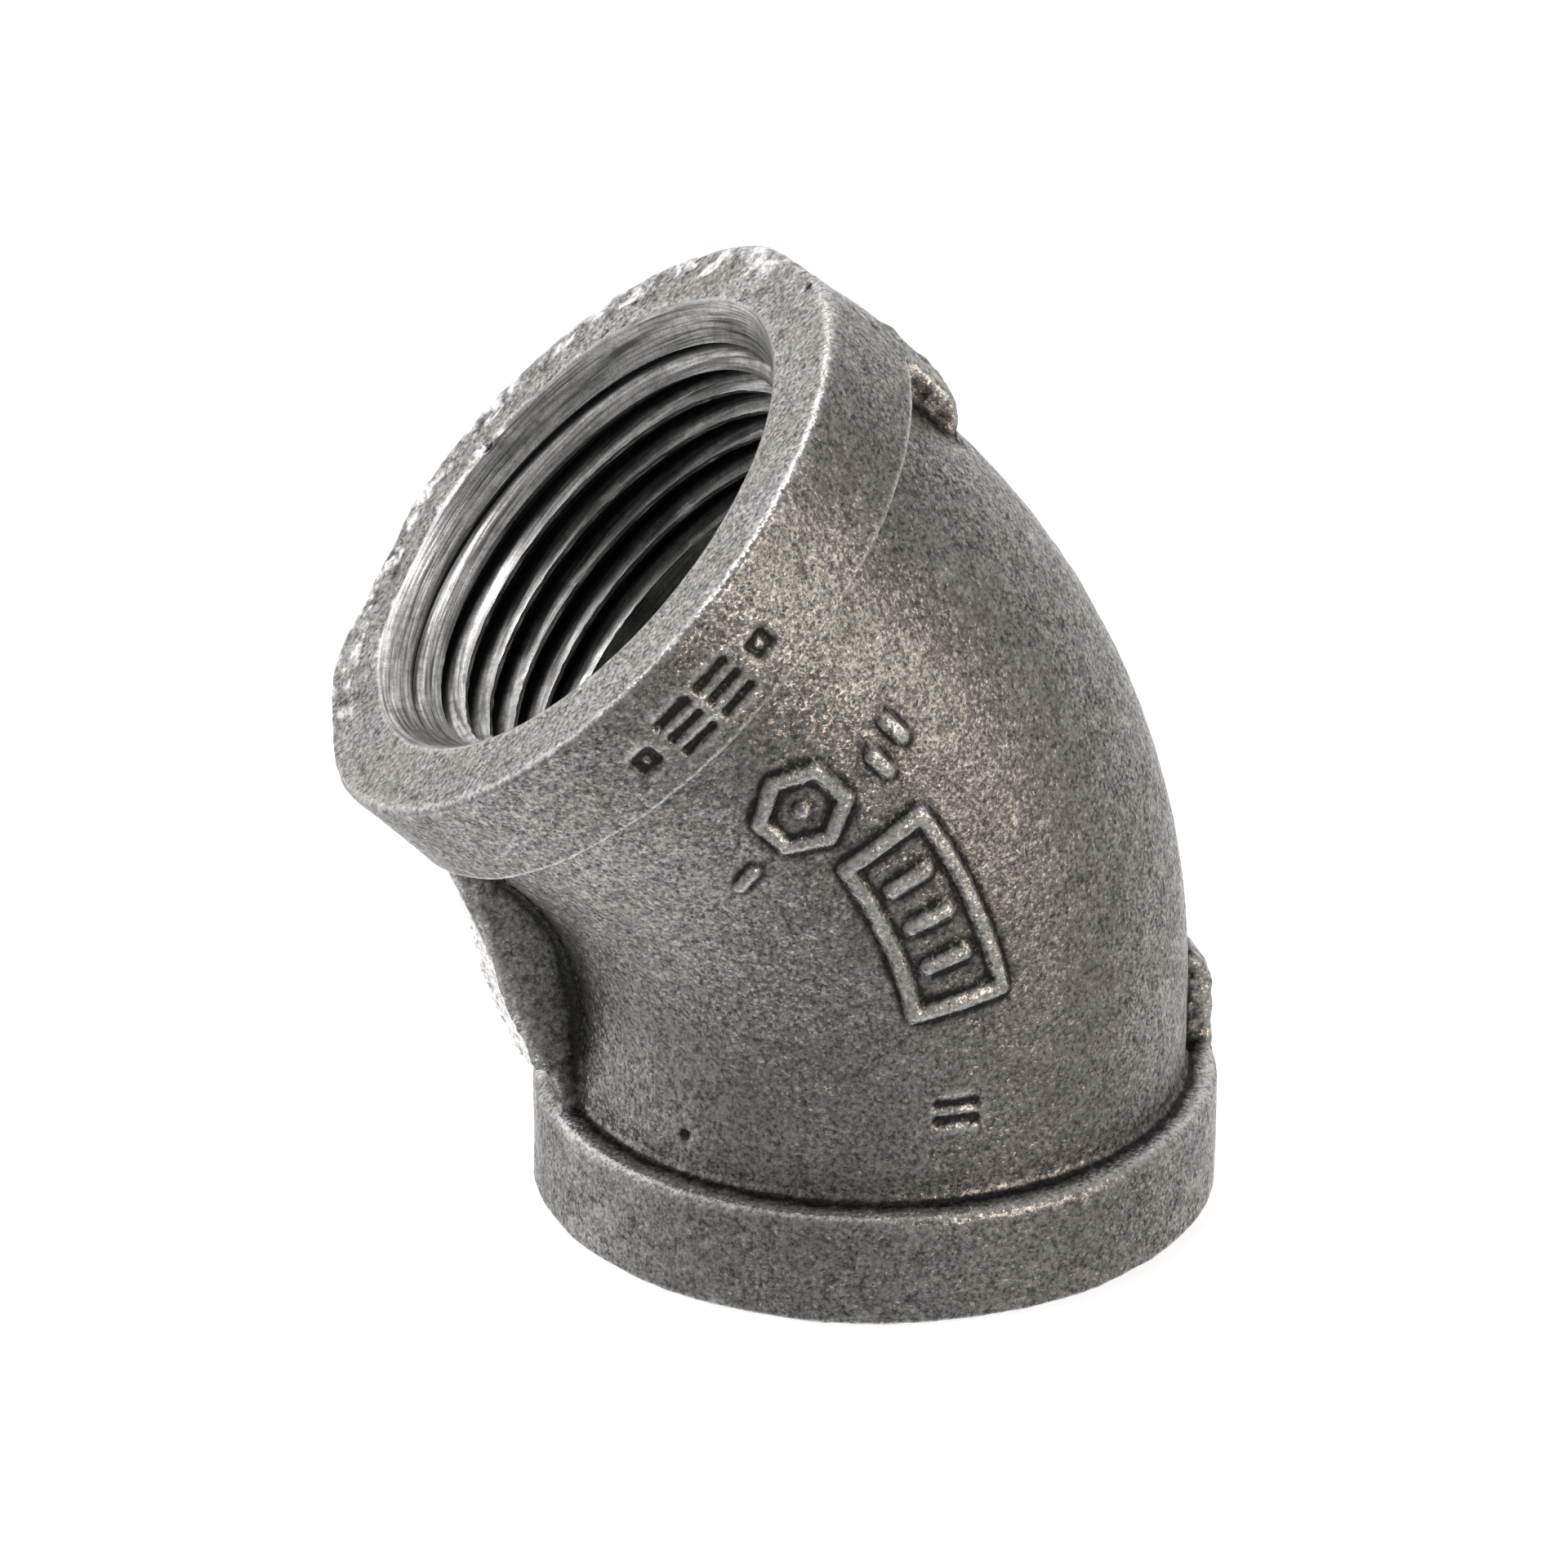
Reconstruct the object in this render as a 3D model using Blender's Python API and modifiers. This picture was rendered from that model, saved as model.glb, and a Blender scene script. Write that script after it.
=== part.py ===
"""A 1 inch 45 degree pipe elbow in malleable iron, threaded inside at both ends.

The elbow is one casting. Its lower leg stands on the ground plane with its axis upright, and its
upper leg leans to -X by the bend angle. Each leg ends in a plain round band. A web fills the inside of the
bend, and a short lug stands behind each band on the outside of the bend. The bores are cut and
tapped after casting: a countersink, a tapered pipe thread, and behind it the as-cast chamber.
Every shape that belongs to a leg is made with the leg's face at z = 0 and the leg's outward
direction along +z, and is then placed by the leg's empty. Sizes are in metres.
"""

import math

import bmesh
import bpy
from mathutils import Matrix, Vector

MM = 0.001
BEND = math.radians(45)

CENTRE_TO_FACE = 28.8 * MM
BAND_RADIUS = 22.8 * MM
BAND_WIDTH = 7.8 * MM
BODY_RADIUS = 20.7 * MM
BEND_RADIUS = 35.0 * MM
WALL = 3.5 * MM

RIM_ROUND = 0.7 * MM
SHOULDER_ROUND = 0.6 * MM
SHOULDER_FILLET = 1.2 * MM

WEB_THICKNESS = 4.4 * MM
WEB_ROUND = 0.6 * MM
WEB_SETBACK = 0.95 * MM
WEB_DEPTH = 10.4 * MM
LUG_REACH = 22.55 * MM
LUG_END = 14.6 * MM
LUG_CORNER = 3.0 * MM

THREADS_PER_INCH = 11.5
PITCH = 25.4 * MM / THREADS_PER_INCH
TAPER = 1 / 32
CREST_RADIUS = 15.0 * MM
CREST_FLAT = 0.28 * MM
ROOT_FLAT = 0.14 * MM
THREAD_FLANK = math.radians(30)
CUTTER_PROUD = 0.07 * MM
THREAD_LENGTH = 14.7 * MM
THREAD_RUN_OUT = 2.4 * MM
RUN_OUT_LIFT = 1.2
MOUTH_RADIUS = 17.7 * MM
COUNTERSINK_ANGLE = math.radians(33)

ROUND_STEPS = 56
BORE_STEPS = 36
CORNER_STEPS = 3
BEND_STEPS = 10
EDGE_SEGMENTS = 2
EDGE_LIMIT = math.radians(40)
SHARP_ANGLE = math.radians(30)
OVERLAP = 1.0 * MM
MERGE = 0.00001

UP_AXIS = Vector((-math.sin(BEND), 0, math.cos(BEND)))
TANGENT_LENGTH = BEND_RADIUS * math.tan(BEND / 2)
UPPER_REACH = (
    CENTRE_TO_FACE * math.sin(BEND)
    + BAND_RADIUS * math.cos(BEND)
    - RIM_ROUND * (math.sin(BEND) + math.cos(BEND) - 1)
)
LOWER_AXIS_X = (UPPER_REACH - BAND_RADIUS) / 2
CROSSING = Vector((LOWER_AXIS_X, 0, CENTRE_TO_FACE))


def clear_scene():
    for obj in list(bpy.data.objects):
        bpy.data.objects.remove(obj, do_unlink=True)


def collection(name):
    made = bpy.data.collections.new(name)
    bpy.context.scene.collection.children.link(made)
    return made


def leg_frame(name, where, matrix):
    """The empty that carries a leg: its z axis points out of the leg's face."""
    empty = bpy.data.objects.new(name, None)
    empty.matrix_world = matrix
    where.objects.link(empty)
    return empty


def add(name, mesh, where, parent=None):
    obj = bpy.data.objects.new(name, mesh)
    obj.parent = parent
    where.objects.link(obj)
    return obj


def arc(centre, radius, start, end, steps):
    """Points of a circular arc in the (x, z) plane, from one angle to another."""
    angles = [start + (end - start) * k / steps for k in range(steps + 1)]
    return [
        (centre[0] + radius * math.cos(a), centre[1] + radius * math.sin(a))
        for a in angles
    ]


def turned(name, profile, steps, where, parent):
    """A solid of revolution about z, from (radius, z) points that run down its outer side."""
    mesh = bpy.data.meshes.new(name)
    points = [(r, 0, z) for r, z in profile]
    mesh.from_pydata(points, [(k, k + 1) for k in range(len(points) - 1)], [])
    obj = add(name, mesh, where, parent)
    screw = obj.modifiers.new("Turn", "SCREW")
    screw.axis = "Z"
    screw.angle = 2 * math.pi
    screw.steps = steps
    screw.render_steps = steps
    screw.use_merge_vertices = True
    screw.merge_threshold = MERGE
    return obj


def as_mesh(curve_obj, where):
    """The curve object's shape as a closed mesh object, which a Boolean can use."""
    bpy.context.view_layer.update()
    graph = bpy.context.evaluated_depsgraph_get()
    mesh = bpy.data.meshes.new_from_object(curve_obj.evaluated_get(graph))
    bm = bmesh.new()
    bm.from_mesh(mesh)
    bmesh.ops.remove_doubles(bm, verts=bm.verts, dist=MERGE)
    bmesh.ops.recalc_face_normals(bm, faces=bm.faces)
    bm.to_mesh(mesh)
    bm.free()
    name = curve_obj.name
    matrix = curve_obj.matrix_world.copy()
    bpy.data.objects.remove(curve_obj, do_unlink=True)
    made = add(name, mesh, where)
    made.matrix_world = matrix
    return made


def path_point(station):
    """A point on the bent centre line; station 0 to 1 runs round the bend from leg to leg."""
    centre_x = LOWER_AXIS_X - BEND_RADIUS
    base = CENTRE_TO_FACE - TANGENT_LENGTH
    angle = BEND * station
    return Vector((
        centre_x + BEND_RADIUS * math.cos(angle),
        0,
        base + BEND_RADIUS * math.sin(angle),
    ))


def bent_tube(name, points, radius, where):
    """A solid round bar along the points."""
    curve = bpy.data.curves.new(name, "CURVE")
    curve.dimensions = "3D"
    curve.bevel_depth = radius
    curve.bevel_resolution = ROUND_STEPS // 4 - 2
    curve.use_fill_caps = True
    spline = curve.splines.new("POLY")
    spline.points.add(len(points) - 1)
    for spot, point in zip(spline.points, points):
        spot.co = (*point, 1)
    return as_mesh(add(name, curve, where), where)


def plate(name, outline, thickness, rounding, where, parent=None):
    """A flat plate in the plane of the bend, from an outline of (x, z) points."""
    curve = bpy.data.curves.new(name, "CURVE")
    curve.dimensions = "2D"
    curve.fill_mode = "BOTH"
    curve.extrude = thickness / 2
    spline = curve.splines.new("POLY")
    spline.points.add(len(outline) - 1)
    for spot, (x, z) in zip(spline.points, outline):
        spot.co = (x, z, 0, 1)
    spline.use_cyclic_u = True
    made = as_mesh(add(name, curve, where), where)
    made.data.transform(Matrix.Rotation(math.radians(90), 4, "X"))
    made.parent = parent
    bevel = made.modifiers.new("Round", "BEVEL")
    bevel.width = rounding
    bevel.segments = EDGE_SEGMENTS
    bevel.angle_limit = EDGE_LIMIT
    return made


def make_body(where):
    """The bent round body between the two faces, ending just inside each band."""
    bend = [path_point(k / BEND_STEPS) for k in range(BEND_STEPS + 1)]
    low_end = Vector((LOWER_AXIS_X, 0, OVERLAP))
    high_end = CROSSING + UP_AXIS * (CENTRE_TO_FACE - OVERLAP)
    return bent_tube("elbow_casting", [low_end, *bend, high_end], BODY_RADIUS, where)


def make_band(leg, where):
    """The plain round band of a leg, with a rounded rim and a small fillet down to the body."""
    quarter = math.pi / 2
    shoulder = -BAND_WIDTH
    rim = arc(
        (BAND_RADIUS - RIM_ROUND, -RIM_ROUND), RIM_ROUND, quarter, 0, CORNER_STEPS
    )
    back = arc(
        (BAND_RADIUS - SHOULDER_ROUND, shoulder + SHOULDER_ROUND),
        SHOULDER_ROUND,
        0,
        -quarter,
        CORNER_STEPS,
    )
    fillet = arc(
        (BODY_RADIUS + SHOULDER_FILLET, shoulder - SHOULDER_FILLET),
        SHOULDER_FILLET,
        quarter,
        2 * quarter,
        CORNER_STEPS,
    )
    foot = [(BODY_RADIUS - OVERLAP, shoulder - SHOULDER_FILLET), (0, shoulder - SHOULDER_FILLET)]
    profile = [(0, 0), *rim, *back, *fillet, *foot]
    return turned(leg.name + "_band", profile, ROUND_STEPS, where, leg)


def make_web(where):
    """The web that fills the inside of the bend, from the back of one band to the other."""
    low_corner = Vector((LOWER_AXIS_X - BAND_RADIUS, 0, BAND_WIDTH))
    face = CROSSING + UP_AXIS * (CENTRE_TO_FACE - BAND_WIDTH)
    inward = Vector((-math.cos(BEND), 0, -math.sin(BEND)))
    high_corner = face + inward * BAND_RADIUS
    along = (high_corner - low_corner).normalized()
    into_body = Vector((along.z, 0, -along.x))
    low = low_corner + into_body * WEB_SETBACK - along * OVERLAP
    high = high_corner + into_body * WEB_SETBACK + along * OVERLAP
    inner_high = high + into_body * WEB_DEPTH - along * WEB_DEPTH / 2
    inner_low = low + into_body * WEB_DEPTH + along * WEB_DEPTH / 2
    outline = [(p.x, p.z) for p in (low, high, inner_high, inner_low)]
    return plate("inner_web", outline, WEB_THICKNESS, WEB_ROUND, where)


def make_lug(leg, where):
    """The short lug behind a leg's band, on the outside of the bend."""
    corner = arc(
        (LUG_REACH - LUG_CORNER, -LUG_END + LUG_CORNER),
        LUG_CORNER,
        0,
        -math.pi / 2,
        2 * CORNER_STEPS,
    )
    start = -BAND_WIDTH + 2 * OVERLAP
    inner = BODY_RADIUS - 2 * OVERLAP
    outline = [(inner, start), (inner, -LUG_END), *reversed(corner), (LUG_REACH, start)]
    return plate(leg.name + "_lug", outline, WEB_THICKNESS, WEB_ROUND, where, leg)


def make_bore(leg, where):
    """The countersink and the bore that the thread crests stand on, as one cutter."""
    depth = THREAD_LENGTH + 2 * OVERLAP
    slope = math.tan(COUNTERSINK_ANGLE)
    sink_depth = (MOUTH_RADIUS - CREST_RADIUS) / (slope - TAPER)
    profile = [
        (0, OVERLAP),
        (MOUTH_RADIUS + OVERLAP * slope, OVERLAP),
        (CREST_RADIUS - sink_depth * TAPER, -sink_depth),
        (CREST_RADIUS - depth * TAPER, -depth),
        (0, -depth),
    ]
    return turned(leg.name + "_bore", profile, BORE_STEPS, where, leg)


def groove_section():
    """The thread groove's depth, and its section as (radius, z) points at the bore's wide end."""
    flank = math.tan(THREAD_FLANK)
    depth = (PITCH - CREST_FLAT - ROOT_FLAT) / 2 / flank
    half_mouth = (PITCH - CREST_FLAT) / 2 + CUTTER_PROUD * flank
    root = CREST_RADIUS + depth
    crest = CREST_RADIUS - CUTTER_PROUD
    return depth, [
        (crest, -half_mouth),
        (root, -ROOT_FLAT / 2),
        (root, ROOT_FLAT / 2),
        (crest, half_mouth),
    ]


def make_thread(leg, where):
    """The groove of a right-hand tapered pipe thread, as a helical cutter that fades out inside."""
    depth, section = groove_section()
    low = -(THREAD_LENGTH + THREAD_RUN_OUT)
    turns = (PITCH - low) / PITCH
    steps = round(turns * BORE_STEPS)
    bm = bmesh.new()
    corners = [bm.verts.new((r, 0, z + low)) for r, z in section]
    loop = [bm.edges.new((a, b)) for a, b in zip(corners, corners[1:] + corners[:1])]
    spun = bmesh.ops.spin(
        bm,
        geom=[*corners, *loop],
        axis=(0, 0, 1),
        cent=(0, 0, 0),
        dvec=(0, 0, PITCH / BORE_STEPS),
        angle=2 * math.pi * steps / BORE_STEPS,
        steps=steps,
        use_duplicate=False,
    )
    last = [edge for edge in spun["geom_last"] if isinstance(edge, bmesh.types.BMEdge)]
    bm.faces.new(corners)
    bmesh.ops.contextual_create(bm, geom=last)
    for vert in bm.verts:
        radius = math.hypot(vert.co.x, vert.co.y)
        buried = max(0, -THREAD_LENGTH - vert.co.z) / THREAD_RUN_OUT
        tapered = radius + vert.co.z * TAPER - depth * RUN_OUT_LIFT * buried
        vert.co.x *= tapered / radius
        vert.co.y *= tapered / radius
    bmesh.ops.recalc_face_normals(bm, faces=bm.faces)
    mesh = bpy.data.meshes.new(leg.name + "_thread")
    bm.to_mesh(mesh)
    bm.free()
    return add(mesh.name, mesh, where, leg)


def make_chamber(where):
    """The as-cast passage behind the threads, one wall thickness inside the body."""
    arc_length = BEND_RADIUS * BEND
    margin = (THREAD_LENGTH - (CENTRE_TO_FACE - TANGENT_LENGTH)) / arc_length
    shares = [k / BEND_STEPS for k in range(BEND_STEPS + 1)]
    stations = [margin + (1 - 2 * margin) * share for share in shares]
    points = [path_point(station) for station in stations]
    return bent_tube("chamber", points, BODY_RADIUS - WALL, where)


def cast_iron():
    material = bpy.data.materials.new("malleable_iron")
    material.use_nodes = True
    shader = material.node_tree.nodes["Principled BSDF"]
    shader.inputs["Base Color"].default_value = (0.17, 0.163, 0.155, 1)
    shader.inputs["Roughness"].default_value = 0.6
    shader.inputs["Metallic"].default_value = 0.7
    return material


def combine(obj, others, operation):
    """Joins or cuts with each helper; all of them are closed, as the manifold solver needs."""
    for other in others:
        other.hide_render = True
        other.display_type = "WIRE"
        boolean = obj.modifiers.new(other.name, "BOOLEAN")
        boolean.operation = operation
        boolean.solver = "MANIFOLD"
        boolean.object = other


def main():
    clear_scene()
    parts = collection("pipe_elbow")
    helpers = collection("cutters")
    lower_turn = Matrix.Rotation(math.pi, 4, "X")
    upper_turn = Matrix.Rotation(-BEND, 4, "Y")
    foot = Vector((LOWER_AXIS_X, 0, 0))
    head = CROSSING + UP_AXIS * CENTRE_TO_FACE
    legs = [
        leg_frame("lower", helpers, Matrix.Translation(foot) @ lower_turn),
        leg_frame("upper", helpers, Matrix.Translation(head) @ upper_turn),
    ]
    casting = make_body(parts)
    bands = [make_band(leg, helpers) for leg in legs]
    lugs = [make_lug(leg, helpers) for leg in legs]
    combine(casting, [*bands, make_web(helpers), *lugs], "UNION")
    bores = [make_bore(leg, helpers) for leg in legs]
    threads = [make_thread(leg, helpers) for leg in legs]
    combine(casting, [make_chamber(helpers), *bores, *threads], "DIFFERENCE")
    casting.data.materials.append(cast_iron())
    casting.data.shade_smooth()
    casting.data.set_sharp_from_angle(angle=SHARP_ANGLE)


main()
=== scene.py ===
"""The looks of a 1 inch 45 degree pipe elbow in black malleable iron.

The real elbow is one casting, so one visual piece stands for the one CAD node. Its surface is a net
of rings around the bent centre line: the sand-cast outside, the two end faces, the countersinks, the
two tapped threads and the cored passage between them. The outside is found by walking inwards along
rays to the blended shape of body, bands, web and lugs, which gives it the fillets of a real casting.

Lengths are in millimetres until the mesh is made. A station is a length along the centre line from the
lower face; round the centre line, angle 0 is the outside of the bend and half a turn is the inside.
"""

import math

import bmesh
import bpy
import numpy as np
from mathutils import Matrix, Vector


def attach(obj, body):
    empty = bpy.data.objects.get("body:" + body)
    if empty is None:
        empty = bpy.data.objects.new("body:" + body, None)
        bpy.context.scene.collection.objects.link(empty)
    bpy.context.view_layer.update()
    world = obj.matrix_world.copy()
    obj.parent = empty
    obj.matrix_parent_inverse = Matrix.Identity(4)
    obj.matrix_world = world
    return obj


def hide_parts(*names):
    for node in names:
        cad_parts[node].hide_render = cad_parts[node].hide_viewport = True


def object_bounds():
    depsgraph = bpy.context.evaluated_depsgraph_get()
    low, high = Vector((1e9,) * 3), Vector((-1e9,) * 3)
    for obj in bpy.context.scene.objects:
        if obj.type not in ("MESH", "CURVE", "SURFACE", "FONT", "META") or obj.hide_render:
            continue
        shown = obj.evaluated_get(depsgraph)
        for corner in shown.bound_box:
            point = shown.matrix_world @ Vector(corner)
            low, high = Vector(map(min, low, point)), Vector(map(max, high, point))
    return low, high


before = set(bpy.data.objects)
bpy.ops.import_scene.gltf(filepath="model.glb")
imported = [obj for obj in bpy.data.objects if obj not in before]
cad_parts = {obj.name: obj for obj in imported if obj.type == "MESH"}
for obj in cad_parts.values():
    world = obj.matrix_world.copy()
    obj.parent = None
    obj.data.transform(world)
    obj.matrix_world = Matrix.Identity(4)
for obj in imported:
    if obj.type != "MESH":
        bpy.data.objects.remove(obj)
cad_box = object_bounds()

MM = 0.001
NODE = "elbow_casting"

# The elbow's sizes, as the CAD part has them.
BEND = math.radians(45)
CENTRE_TO_FACE = 28.8
BAND_RADIUS = 22.8
BAND_WIDTH = 7.8
BODY_RADIUS = 20.7
BEND_RADIUS = 35.0
CHAMBER_RADIUS = 17.2
PITCH = 25.4 / 11.5
TAPER = 1 / 32
CREST_RADIUS = 15.0
MOUTH_RADIUS = 17.7
COUNTERSINK_SLOPE = math.tan(math.radians(33))

# Roundings of the casting, in pairs for the lower and the upper end. The upper rim is worn by up to
# FAR_RIM_WEAR more on its far side, turned a little towards the outside of the bend.
RIM_ROUND = (0.25, 0.5)
FAR_RIM_WEAR = 1.0
WEAR_TURN = math.radians(25)
SHOULDER_ROUND = (0.8, 0.3)
BODY_FILLET = 0.9
WEB_FILLET = 0.9
WEB_THICKNESS = 4.4
WEB_ROUND = 0.6
WEB_SETBACK = 0.95
LUG_END = 14.6
LUG_CORNER = 3.0

# Threads. A thread's phase is the angle where its first crest starts. The crests are worn unevenly.
CREST_FLAT = 0.28
ROOT_FLAT = 0.14
THREAD_DEPTH = (PITCH - CREST_FLAT - ROOT_FLAT) / 2 / math.tan(math.radians(30))
THREAD_START = 0.65
THREAD_TURNS = 6
FULL_THREAD = 14.2
RUN_OUT = 2.0
CREST_WEAR = 0.08
WEAR_SIZE = 0.5
THREAD_PHASE = (math.pi, math.pi + 0.4)
THREAD_END = 0.3

# The cored passage starts at this depth and is full after this turn of the bend.
CHAMBER_DEPTH = 17.5
CHAMBER_TURN = math.radians(12.0)

# The rounded lip between an end face and its countersink, and the bare metal just below it.
LIP = 0.32
LIP_REACH = 1.15
LIP_DROP = 0.42
LIP_GAP = 0.06

# How finely the surface is divided. Stretches of the outside are (end, step), counted from a face; the
# band's own stretch differs between the lower and the upper end.
COLUMNS = 480
FACE_ROWS = 15
LIP_ROWS = 5
RIM_ROWS = 8
CHAMBER_ROWS = 15
SHOULDER_STRETCHES = ((7.1, 0.22), (9.6, 0.09), (13.0, 0.25))
BAND_STRETCHES = ((5.8, 0.4), (5.8, 0.3))
BODY_STEP = 0.27
SHARP_ANGLE = math.radians(42)

# The walk in along each ray: its start, most steps, share of the gap per step, and the gap that ends it.
FAR = 32.0
WALK_STEPS = 90
WALK_SHARE = 0.85
WALK_END = 0.001

# The skin counts as hollow or proud against its average over this many rounds of smoothing.
HOLLOW_ROUNDS = 14
HOLLOW_SCALE = 6

# The generic casting marks, placed by (across, up) on the side that carries them, up from the lower face.
MARK_SIDE = 1.5 * math.pi
MARK_REACH = 12
RAISED_FRAME = (1.2, 28.3, 6.0, 12.6)
RAISED_HEXAGON = (-1.3, 40.2, 2.9)
RAISED_DASHES = (((-7.9, 38.0), (-6.6, 38.6)), ((4.4, 38.2), (4.4, 39.4)), ((6.6, 39.0), (6.6, 40.2)))
SUNK_DASHES = (((-0.9, 13.6), (1.5, 13.6)), ((-0.9, 14.8), (1.5, 14.8)))
SUNK_UP = 51.4
SUNK_BARS = ((-1.4, 2.0), (1.8, 2.0))
SUNK_SQUARES = ((-4.6, 0.9), (5.0, 0.9))
BAR_GAP = 1.3
# Half the width of a stroke and its height, then how its edge slopes.
RAISED_STROKE = (0.42, 0.42)
SUNK_STROKE = (0.3, -0.3)
STROKE_EASE = 0.28
STROKE_SLOPE = 0.45

# The centre line: a straight leg, the bend, a straight leg.
LEG = CENTRE_TO_FACE - BEND_RADIUS * math.tan(BEND / 2)
ARC = BEND_RADIUS * BEND
LENGTH = 2 * LEG + ARC
AXIS_X = cad_box[1].x / MM - BAND_RADIUS


# ---------------------------------------------------------------- noise


class Noise:
    """Smooth random values in space, the same in each run."""

    SIZE = 64

    def __init__(self, seed):
        self.table = np.random.default_rng(seed).random((self.SIZE,) * 3) * 2 - 1

    def at(self, points, feature):
        """Values from -1 to 1 that change over a length of about feature."""
        scaled = points / feature
        whole = np.floor(scaled).astype(int)
        part = scaled - whole
        part = part * part * (3 - 2 * part)
        total = 0
        for corner in np.ndindex(2, 2, 2):
            index = (whole + corner) % self.SIZE
            weight = np.prod(np.where(corner, part, 1 - part), axis=-1)
            total = total + weight * self.table[index[..., 0], index[..., 1], index[..., 2]]
        return total


def swell(place, middle, width, power=4):
    """1 at the middle, falling to nothing beyond the width; a higher power has a flatter top."""
    return np.exp(-(((place - middle) / width) ** power))


# The fin left on the web's edge: where it breaks off, its full height, and where it fades out.
FIN_START = 3.9
FIN_HEIGHT = 1.1
FIN_FULL = 8.0
FIN_FADE = 0.15
FIN_SLOPE = 0.25
FIN_FILLET = 0.3
BROKEN_OFF = -2.0

# Layers of roughness as (height, size of its features, shift through the noise).
FIN_LAYERS = ((0.22, 1.3, 0), (0.14, 0.45, 9))
SEAM_LAYERS = ((0.12, 0.8, 0), (0.08, 0.4, 3))
CHIP_LAYERS = ((0.08, 1.4, 0), (0.06, 0.5, 5))
FLAKE_LAYERS = ((1, 1.3, 0), (0.9, 0.45, 0))
# The parting line's rough strip: half its width on the inside and on the outside of the bend, and how
# deep behind the upper face it is full.
SEAM_WIDTHS = (1.5, 2.6)
SEAM_FULL = 3
# The worn far side of the upper rim: how far to the side it is full, how deep it goes, how close to the
# bore it comes and how far it sinks. The lip is chipped in a ring that starts at the mouth.
WORN_ASIDE = 14
WORN_DEPTH = 3.5
WORN_INSIDE = 19
WORN_DOWN = 0.05
LIP_CHIPS = 0.3
TURNED_RELIEF = 0.006
# What shines where the web's edge was ground, and the bright flakes of the worn rim.
GROUND_UNDER = 0.2
GROUND_EASE = 0.25
GROUND_ASIDE = 3
FLAKE_ASIDE = 10
FLAKE_DEPTH = 3
FLAKE_INSIDE = 20
FLAKE_MOST = 0.8

RAGGED = (Noise(11), Noise(12))
EDGE_NOISE = Noise(13)
# Noise, size of its features and height, for the sand-cast skin.
GRAINS = ((Noise(1), 3.2, 0.05), (Noise(2), 1.1, 0.035), (Noise(3), 0.5, 0.024))
# Flaws: station, angle, distance from the centre line, radius and depth. The last three are worn
# stretches of the upper rim.
DENTS = (
    (10.6, math.radians(-141), BODY_RADIUS, 0.42, 0.35),
    (LENGTH, math.radians(-1), 21.6, 0.36, 0.4),
    (LENGTH - 0.2, math.radians(99), 17.8, 0.5, 0.4),
    (LENGTH - 0.8, math.radians(102), 17.2, 0.45, 0.35),
    (LENGTH - 0.4, math.radians(96), 17.7, 0.4, -0.25),
    (LENGTH - 1.0, math.radians(10), 22.8, 4.2, 0.6),
    (LENGTH, math.radians(131), 22.6, 5.0, 0.5),
    (LENGTH, math.radians(167), 22.6, 5.0, 0.4),
)

# Linear colours of the iron.
SKIN_DARK = (0.075, 0.073, 0.071, 1)
SKIN_LIGHT = (0.39, 0.38, 0.37, 1)
SKIN_BROWN = (0.17, 0.155, 0.14, 1)
# Painted glints, cold and warm, that lighten random crystals of the skin.
PAINTED_GLINT_COLD = (0.62, 0.61, 0.6, 1)
PAINTED_GLINT_WARM = (0.72, 0.6, 0.47, 1)
# Dark for hollows and thread roots: partly oxide gathered there, partly painted shade.
HOLLOW_SHADE_AND_OXIDE = (0.02, 0.019, 0.018, 1)
# Light for raised edges and thread crests: partly rubbed metal, partly a painted highlight.
EDGE_WEAR_AND_HIGHLIGHT = (0.62, 0.61, 0.59, 1)
TURNED_DARK = (0.1, 0.098, 0.096, 1)
TURNED_LIGHT = (0.58, 0.57, 0.56, 1)
GROUND_LIGHT = (0.85, 0.84, 0.83, 1)
RIM_TINT = (0.3, 0.3, 0.3, 1)

# Sizes of what the skin's material shows, depths of its relief, and how far its crystals tilt.
GRAIN_SIZE = 0.34
FINE_SIZE = 0.16
LUMP_SIZE = 0.9
SMEAR_SIZE = 0.9
PATCH_SIZE = 5.0
CRYSTAL_SIZE = 0.19
FLAKE_SIZE = 0.5
SKIN_BUMP = 0.07
LINE_BUMP = 0.04
BUMP_STRENGTH = 0.8
FACET_TILT = 0.32
METALLIC = 0.85
# The lathe's lines: how fast they change round the bore and with depth.
LINE_AROUND = 28.0
LINE_SCALE = 7.0

# The stage. The floor glows a little, so that it stays pale under soft light.
FLOOR_HALF = 3.0
FLOOR_DROP = 0.00005
FLOOR_GREY = 0.5
FLOOR_GLOW = 0.75
SHADE_DROP = 0.00002
SHADE_SHARE = 0.93
SHADE_SIDES = 64
SHADE_GREY = 0.04


def facing(azimuth, height):
    """The direction at an azimuth (0 along x, 90 behind the elbow) and a height, in degrees."""
    azimuth = math.radians(azimuth)
    height = math.radians(height)
    level = math.cos(height)
    return Vector((level * math.cos(azimuth), level * math.sin(azimuth), math.sin(height)))


# The studio's soft light: direction it comes from, where it starts and is full (as the cosine of the
# angle from that direction) and its strength. The first is full all round.
STUDIO = (
    (Vector((0, 0, 1)), -3.0, -2.0, 0.44),
    (facing(62, -31), 0.5, 1.15, 3.7),
    (Vector((0, 0, -1)), 0.64, 1.0, 1.8),
    (facing(114, 17), 0.0, 1.0, 2.0),
)

# Lamps, aimed at the elbow's middle: place, size, power and colour.
LAMP_TARGET = (0, 0, 0.03)
LAMPS = {
    "overhead": (facing(159, 71) * 0.9, 0.4, 5.5, (1, 1, 1)),
    "warm_front": (facing(-51, 14) * 0.6, 0.26, 1.15, (1.13, 1.0, 0.85)),
}

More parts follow.
